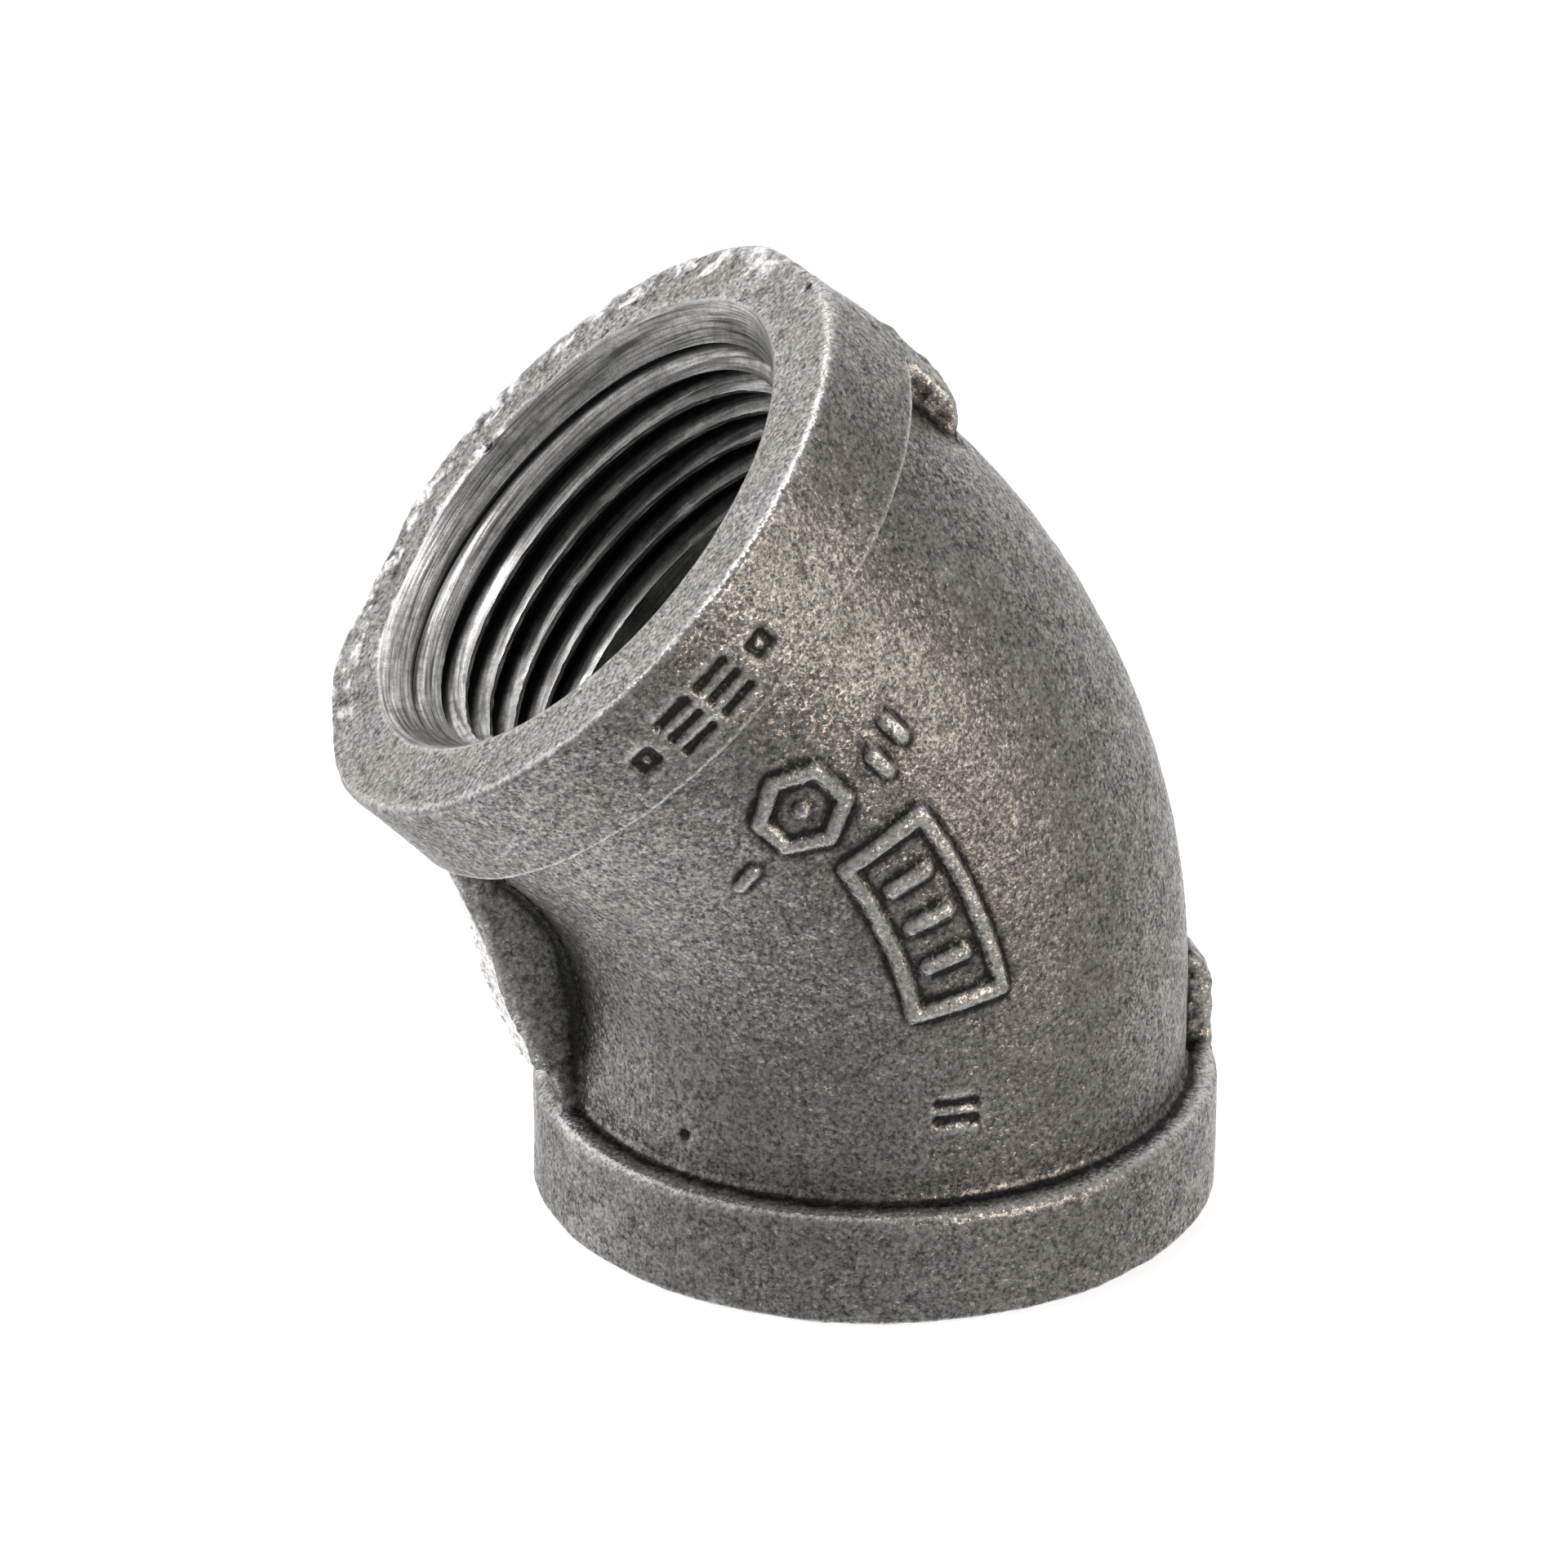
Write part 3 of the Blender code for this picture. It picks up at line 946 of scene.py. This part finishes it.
def cast_iron():
    """Dark malleable iron: grainy sand-cast skin, with brighter turned metal in the bores."""
    n = Nodes("cast_iron")
    where = n.add("ShaderNodeTexCoord").outputs["Object"]
    cut = n.value("cut")
    hollow = n.value("hollow")
    grain = n.noise(where, GRAIN_SIZE, 2, 0.55)
    fine = n.noise(where, FINE_SIZE, 2, 0.6)
    patch = n.noise(where, PATCH_SIZE, 3, 0.6)
    lumps = n.noise(where, LUMP_SIZE, 2, 0.5)
    crystals = n.add("ShaderNodeTexVoronoi", {"Vector": where, "Scale": 1 / (CRYSTAL_SIZE * MM)})
    facet = crystals.outputs["Color"]
    tint = n.add("ShaderNodeSeparateColor", {"Color": facet})
    glint = n.spread(tint.outputs[0], 0.6, 1.0)
    warm = n.spread(tint.outputs[1], 0.3, 1.0)

    tone = n.math("ADD", n.spread(grain, 0.3, 0.7), n.spread(fine, 0.3, 0.7, -0.25, 0.25))
    flakes = n.add("ShaderNodeTexVoronoi", {"Vector": where, "Scale": 1 / (FLAKE_SIZE * MM)})
    flake = n.add("ShaderNodeSeparateColor", {"Color": flakes.outputs["Color"]}).outputs[0]
    tone = n.math("ADD", tone, n.spread(flake, 0, 1, -0.1, 0.1))
    tone = n.math("ADD", tone, n.spread(lumps, 0.3, 0.7, -0.1, 0.1))
    skin = n.blend(tone, SKIN_DARK, SKIN_LIGHT)
    skin = n.blend(n.spread(patch, 0.4, 0.7, 0, 0.35), skin, SKIN_BROWN)
    # Random crystals get a painted glint: a lighter, warm-tinted colour. Their lower roughness further down
    # is real.
    painted_glint = n.blend(warm, PAINTED_GLINT_COLD, PAINTED_GLINT_WARM)
    skin = n.blend(n.math("MULTIPLY", glint, 0.3), skin, painted_glint)
    # Hollows are darkened: partly oxide gathered there, partly painted shade.
    skin = n.blend(n.spread(hollow, 0.03, 0.45, 0, 0.92), skin, HOLLOW_SHADE_AND_OXIDE)
    # Raised edges are brighter, in patches: partly rubbed metal, partly a painted highlight.
    rubbed_and_highlit = n.math("MULTIPLY", n.spread(hollow, -0.06, -0.5), n.spread(tone, 0, 0.9, 0.3, 0.95))
    skin = n.blend(rubbed_and_highlit, skin, EDGE_WEAR_AND_HIGHLIGHT)

    bright = n.blend(n.spread(grain, 0.35, 0.6), SKIN_LIGHT, GROUND_LIGHT)
    skin = n.blend(n.value("ground"), skin, bright)

    # The lathe's lines keep to one depth and fade in and out as they go round.
    around = n.add("ShaderNodeVectorMath", {0: where, "Scale": LINE_AROUND}, operation="SCALE").outputs[0]
    line_inputs = {"Vector": around, "W": n.value("cut_depth"), "Scale": LINE_SCALE, "Detail": 4.0}
    lines = n.add("ShaderNodeTexNoise", line_inputs, noise_dimensions="4D").outputs["Fac"]
    smear = n.noise(where, SMEAR_SIZE, 3, 0.6)
    turned = n.blend(n.spread(lines, 0.36, 0.62), TURNED_DARK, TURNED_LIGHT)
    turned = n.blend(n.spread(smear, 0.45, 0.7, 0, 0.5), turned, SKIN_DARK)
    # Thread roots are darker, partly oxide and partly painted shade; crests are lighter, partly worn metal
    # and partly a painted highlight.
    turned = n.blend(n.spread(hollow, 0.0, 0.5, 0, 0.9), turned, HOLLOW_SHADE_AND_OXIDE)
    turned = n.blend(n.spread(hollow, -0.1, -0.7, 0, 0.25), turned, EDGE_WEAR_AND_HIGHLIGHT)
    turned = n.blend(n.spread(fine, 0.48, 0.7, 0, 0.5), turned, SKIN_DARK)
    colour = n.blend(cut, skin, turned)

    rough = n.add("ShaderNodeMix", data_type="FLOAT")
    n.put(rough.inputs[0], cut)
    n.put(rough.inputs[2], n.spread(glint, 0, 1, 0.4, 0.28))
    n.put(rough.inputs[3], n.spread(lines, 0.3, 0.7, 0.5, 0.34))

    skin_height = n.math("ADD", n.math("ADD", grain, n.math("MULTIPLY", fine, 0.5)), lumps)
    height = n.math("MULTIPLY", n.math("SUBTRACT", 1.0, cut), skin_height)
    bumped = n.bump(height, SKIN_BUMP, BUMP_STRENGTH)
    grooves = n.math("MULTIPLY", cut, lines)
    bumped = n.bump(grooves, LINE_BUMP, BUMP_STRENGTH, bumped)
    tilt = n.add("ShaderNodeVectorMath", {0: facet, 1: (0.5, 0.5, 0.5)}, operation="SUBTRACT")
    amount = n.math("MULTIPLY", n.math("SUBTRACT", 1.0, cut), FACET_TILT)
    tilt = n.add("ShaderNodeVectorMath", {0: tilt.outputs[0], "Scale": amount}, operation="SCALE")
    tilted = n.add("ShaderNodeVectorMath", {0: bumped, 1: tilt.outputs[0]}, operation="ADD")
    normal = n.add("ShaderNodeVectorMath", {0: tilted.outputs[0]}, operation="NORMALIZE")
    shader = n.add(
        "ShaderNodeBsdfPrincipled",
        {
            "Base Color": colour,
            "Roughness": rough.outputs[0],
            "Normal": normal.outputs[0],
            "Metallic": METALLIC,
            "Specular Tint": n.blend(n.value("ground"), RIM_TINT, GROUND_LIGHT),
        },
    )
    out = n.add("ShaderNodeOutputMaterial")
    n.put(out.inputs[0], shader.outputs[0])
    return n.material


def plain_floor():
    n = Nodes("pale_floor")
    shader = n.add(
        "ShaderNodeBsdfPrincipled",
        {
            "Base Color": (FLOOR_GREY, FLOOR_GREY, FLOOR_GREY, 1),
            "Roughness": 0.9,
            "Specular IOR Level": 0.0,
            "Emission Color": (1, 1, 1, 1),
            "Emission Strength": FLOOR_GLOW,
        },
    )
    out = n.add("ShaderNodeOutputMaterial")
    n.put(out.inputs[0], shader.outputs[0])
    return n.material


# ---------------------------------------------------------------- stage


def make_shade():
    """A dark disc on the floor under the elbow, a painted shadow, which keeps light from coming up its bore.
    """
    mesh = bpy.data.meshes.new("shade")
    work = bmesh.new()
    radius = BAND_RADIUS * SHADE_SHARE * MM
    bmesh.ops.create_circle(work, cap_ends=True, segments=SHADE_SIDES, radius=radius)
    work.to_mesh(mesh)
    work.free()
    n = Nodes("shaded_floor")
    colour = (SHADE_GREY, SHADE_GREY, SHADE_GREY, 1)
    dark = n.add("ShaderNodeBsdfPrincipled", {"Base Color": colour, "Roughness": 0.9})
    out = n.add("ShaderNodeOutputMaterial")
    n.put(out.inputs[0], dark.outputs[0])
    mesh.materials.append(n.material)
    shade = bpy.data.objects.new("shade", mesh)
    shade.location = (AXIS_X * MM, 0, -SHADE_DROP)
    bpy.context.scene.collection.objects.link(shade)


def make_floor():
    mesh = bpy.data.meshes.new("floor")
    half = FLOOR_HALF
    corners = [(-half, -half, 0), (half, -half, 0), (half, half, 0), (-half, half, 0)]
    mesh.from_pydata(corners, [], [(0, 1, 2, 3)])
    mesh.materials.append(plain_floor())
    floor = bpy.data.objects.new("floor", mesh)
    floor.location.z = -FLOOR_DROP
    floor.visible_glossy = False
    floor.visible_diffuse = False
    bpy.context.scene.collection.objects.link(floor)
    make_shade()


def aim(thing, target):
    direction = Vector(target) - thing.location
    thing.rotation_euler = direction.to_track_quat("-Z", "Y").to_euler()


def soft_light(name, place, size, watts, colour):
    data = bpy.data.lights.new(name, "AREA")
    data.shape = "SQUARE"
    data.size = size
    data.energy = watts
    data.color = colour
    light = bpy.data.objects.new(name, data)
    light.location = place
    aim(light, LAMP_TARGET)
    bpy.context.scene.collection.objects.link(light)


def make_world():
    """Soft light from all round: brightest behind the elbow and from the pale ground, darkest in front."""
    world = bpy.data.worlds.new("studio")
    bpy.context.scene.world = world
    world.use_nodes = True
    tree = world.node_tree
    tree.nodes.clear()
    place = tree.nodes.new("ShaderNodeTexCoord")
    total = None
    for direction, start, end, strength in STUDIO:
        turned = tree.nodes.new("ShaderNodeVectorMath")
        turned.operation = "DOT_PRODUCT"
        turned.inputs[1].default_value = direction
        tree.links.new(place.outputs["Generated"], turned.inputs[0])
        ramp = tree.nodes.new("ShaderNodeMapRange")
        ramp.interpolation_type = "SMOOTHSTEP"
        tree.links.new(turned.outputs["Value"], ramp.inputs[0])
        for socket, value in zip(ramp.inputs[1:], (start, end, 0.0, strength)):
            socket.default_value = value
        if total is None:
            total = ramp.outputs[0]
        else:
            both = tree.nodes.new("ShaderNodeMath")
            tree.links.new(total, both.inputs[0])
            tree.links.new(ramp.outputs[0], both.inputs[1])
            total = both.outputs[0]
    back = tree.nodes.new("ShaderNodeBackground")
    out = tree.nodes.new("ShaderNodeOutputWorld")
    tree.links.new(total, back.inputs["Strength"])
    tree.links.new(back.outputs[0], out.inputs[0])


def make_light():
    make_world()
    for name, settings in LAMPS.items():
        soft_light(name, *settings)


def make_camera():
    """A long lens, looking down at the elbow from its front left."""
    ahead = Vector((math.sin(CAMERA_AZIMUTH), -math.cos(CAMERA_AZIMUTH), 0))
    back = ahead * math.cos(CAMERA_HEIGHT) + Vector((0, 0, math.sin(CAMERA_HEIGHT)))
    level = Vector((math.cos(CAMERA_AZIMUTH), math.sin(CAMERA_AZIMUTH), 0))
    over = back.cross(level)
    right = level * math.cos(CAMERA_ROLL) + over * math.sin(CAMERA_ROLL)
    up = over * math.cos(CAMERA_ROLL) - level * math.sin(CAMERA_ROLL)
    data = bpy.data.cameras.new("camera")
    data.sensor_width = CAMERA_SENSOR
    data.lens = CAMERA_LENS
    camera = bpy.data.objects.new("camera", data)
    turn = Matrix((right, up, back)).transposed().to_4x4()
    camera.matrix_world = Matrix.Translation(CAMERA_PLACE) @ turn
    bpy.context.scene.collection.objects.link(camera)
    bpy.context.scene.camera = camera


bpy.context.scene.view_settings.view_transform = "Standard"
make_elbow(cast_iron())
make_floor()
make_light()
make_camera()
